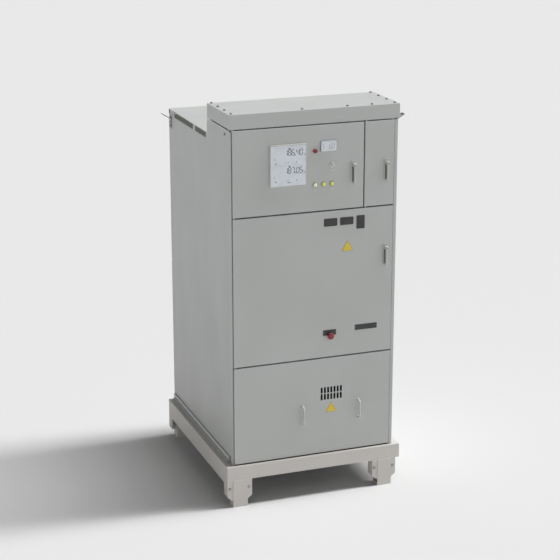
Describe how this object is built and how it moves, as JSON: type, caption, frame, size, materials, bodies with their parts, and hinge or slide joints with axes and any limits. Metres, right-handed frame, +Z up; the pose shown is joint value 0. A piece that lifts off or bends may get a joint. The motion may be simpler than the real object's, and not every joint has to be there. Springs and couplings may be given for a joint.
{
  "type": "switchgear cubicle",
  "caption": "Free-standing grey metal-enclosed switchgear cubicle on a raised base frame, with hinged doors, a pull-off cover, handles, meter and a racking breaker truck.",
  "frame": {"origin": "on the floor at the centre of the four anchor-bolt holes in the base frame's feet", "axes": "+X to the right of a person who faces the doors, +Y to the back, +Z up; the doors face -Y"},
  "size_m": [1.1178, 1.233, 2.326],
  "materials": {
    "body_paint": "fine textured grey powder coat",
    "base_paint": "semi-matt warm grey paint",
    "zinc_steel": "zinc plated",
    "galvanised": "galvanised sheet",
    "rubber": "black extruded rubber",
    "dark_mesh": "dark coated screen",
    "epoxy": "cast resin, satin",
    "copper": "bare copper bar",
    "pale_plastic": "moulded instrument case",
    "lcd_glass": "backlit liquid-crystal display",
    "lamp_plastic": "translucent indicator lens",
    "chrome": "polished collar",
    "handle_metal": "satin die-cast",
    "red_plastic": "moulded red plastic",
    "window_glass": "smoked inspection window",
    "dark_plastic": "moulded black plastic"
  },
  "bodies": {
    "cabinet": {"base_cross_beams": "base_paint", "base_side_beams": "base_paint", "base_feet": "base_paint", "frame_bolts": "zinc_steel", "lifting_lugs": "zinc_steel", "floor_plate": "galvanised", "cable_grommets": "rubber", "front_posts": "body_paint", "rear_posts": "galvanised", "cross_rails": "galvanised", "left_side_panel": "body_paint", "right_side_panel": "body_paint", "sill_rails": "body_paint", "rear_lower_cover": "body_paint", "rear_upper_cover": "body_paint", "cap_frame": "galvanised", "roof_cap": "body_paint", "rear_roof_plate": "body_paint", "roof_vent_screens": "dark_mesh", "cover_screws": "zinc_steel", "instrument_liner": "galvanised", "door_mullion": "galvanised", "breaker_shelf": "galvanised", "breaker_barrier": "galvanised", "contact_spouts": "epoxy", "busbars": "copper", "current_transformers": "epoxy", "hinge_pivots": "zinc_steel", "door_seals": "rubber"},
    "instrument_door": {"instrument_door": "body_paint", "meter_case": "pale_plastic", "meter_screen": "lcd_glass", "panel_display": "pale_plastic", "indicator_lamps": "lamp_plastic", "switch_collars": "chrome", "instrument_handle_base": "handle_metal"},
    "red_button": {"red_button": "red_plastic"},
    "key_switch": {"key_switch": "chrome"},
    "instrument_handle": {"instrument_handle_spindle": "handle_metal"},
    "instrument_lever": {"instrument_handle_lever": "handle_metal"},
    "narrow_door": {"narrow_door": "body_paint", "narrow_handle_base": "handle_metal"},
    "narrow_handle": {"narrow_handle_spindle": "handle_metal"},
    "narrow_lever": {"narrow_handle_lever": "handle_metal"},
    "breaker_door": {"breaker_door": "body_paint", "breaker_windows": "window_glass", "breaker_handle_base": "handle_metal", "trip_collar": "dark_plastic"},
    "breaker_handle": {"breaker_handle_spindle": "handle_metal"},
    "breaker_lever": {"breaker_handle_lever": "handle_metal"},
    "trip_button": {"trip_button": "red_plastic"},
    "cable_cover": {"cable_cover": "body_paint", "cover_handles": "handle_metal"},
    "breaker_truck": {"truck_chassis": "galvanised", "mechanism_cover": "body_paint", "breaker_poles": "epoxy", "contact_arms": "copper"},
    "front_wheels": {"front_wheelset": "zinc_steel"},
    "rear_wheels": {"rear_wheelset": "zinc_steel"},
    "earth_switch": {"earth_switch": "copper"}
  },
  "joints": [
    {"name": "instrument_door_hinge", "type": "hinge", "parent": "cabinet", "child": "instrument_door", "pos_m": [-0.486, -0.57, 1.982], "axis": [0, 0, -1], "range_deg": [0, 105]},
    {"name": "narrow_door_hinge", "type": "hinge", "parent": "cabinet", "child": "narrow_door", "pos_m": [0.307, -0.57, 1.982], "axis": [0, 0, -1], "range_deg": [0, 95]},
    {"name": "breaker_door_hinge", "type": "hinge", "parent": "cabinet", "child": "breaker_door", "pos_m": [-0.486, -0.57, 1.291], "axis": [0, 0, -1], "range_deg": [0, 105]},
    {"name": "cable_cover_pull", "type": "slide", "parent": "cabinet", "child": "cable_cover", "axis": [0, -1, 0], "range_m": [0, 0.3]},
    {"name": "red_button_press", "type": "slide", "parent": "instrument_door", "child": "red_button", "axis": [0, 1, 0], "range_m": [0, 0.003], "stiffness_N_per_m": 400},
    {"name": "key_switch_turn", "type": "hinge", "parent": "instrument_door", "child": "key_switch", "pos_m": [0.098, -0.578, 1.998], "axis": [0, 1, 0], "range_deg": [0, 90]},
    {"name": "trip_button_press", "type": "slide", "parent": "breaker_door", "child": "trip_button", "axis": [0, 1, 0], "range_m": [0, 0.006], "stiffness_N_per_m": 600},
    {"name": "instrument_handle_turn", "type": "hinge", "parent": "instrument_door", "child": "instrument_handle", "pos_m": [0.229, -0.582, 1.988], "axis": [0, 1, 0], "range_deg": [0, 90]},
    {"name": "instrument_lever_lift", "type": "hinge", "parent": "instrument_handle", "child": "instrument_lever", "pos_m": [0.229, -0.591, 1.988], "axis": [-1, 0, 0], "range_deg": [0, 25]},
    {"name": "narrow_handle_turn", "type": "hinge", "parent": "narrow_door", "child": "narrow_handle", "pos_m": [0.432, -0.582, 1.986], "axis": [0, 1, 0], "range_deg": [0, 90]},
    {"name": "narrow_lever_lift", "type": "hinge", "parent": "narrow_handle", "child": "narrow_lever", "pos_m": [0.432, -0.591, 1.986], "axis": [-1, 0, 0], "range_deg": [0, 25]},
    {"name": "breaker_handle_turn", "type": "hinge", "parent": "breaker_door", "child": "breaker_handle", "pos_m": [0.434, -0.582, 1.484], "axis": [0, 1, 0], "range_deg": [0, 90]},
    {"name": "breaker_lever_lift", "type": "hinge", "parent": "breaker_handle", "child": "breaker_lever", "pos_m": [0.434, -0.591, 1.484], "axis": [-1, 0, 0], "range_deg": [0, 25]},
    {"name": "truck_racking", "type": "slide", "parent": "cabinet", "child": "breaker_truck", "axis": [0, -1, 0], "range_m": [0, 0.18]},
    {"name": "front_wheel_roll", "type": "hinge", "parent": "breaker_truck", "child": "front_wheels", "pos_m": [0, -0.28, 0.8913], "axis": [1, 0, 0], "range_deg": [-10, 360]},
    {"name": "rear_wheel_roll", "type": "hinge", "parent": "breaker_truck", "child": "rear_wheels", "pos_m": [0, -0.07, 0.8913], "axis": [1, 0, 0], "range_deg": [-10, 360]},
    {"name": "earth_switch_throw", "type": "hinge", "parent": "cabinet", "child": "earth_switch", "pos_m": [0, 0.46, 0.694], "axis": [-1, 0, 0], "range_deg": [0, 90]}
  ],
  "couplings": [
    {"joint": "front_wheel_roll", "follows": "truck_racking", "rad_per_m": 33.333},
    {"joint": "rear_wheel_roll", "follows": "truck_racking", "rad_per_m": 33.333}
  ]
}
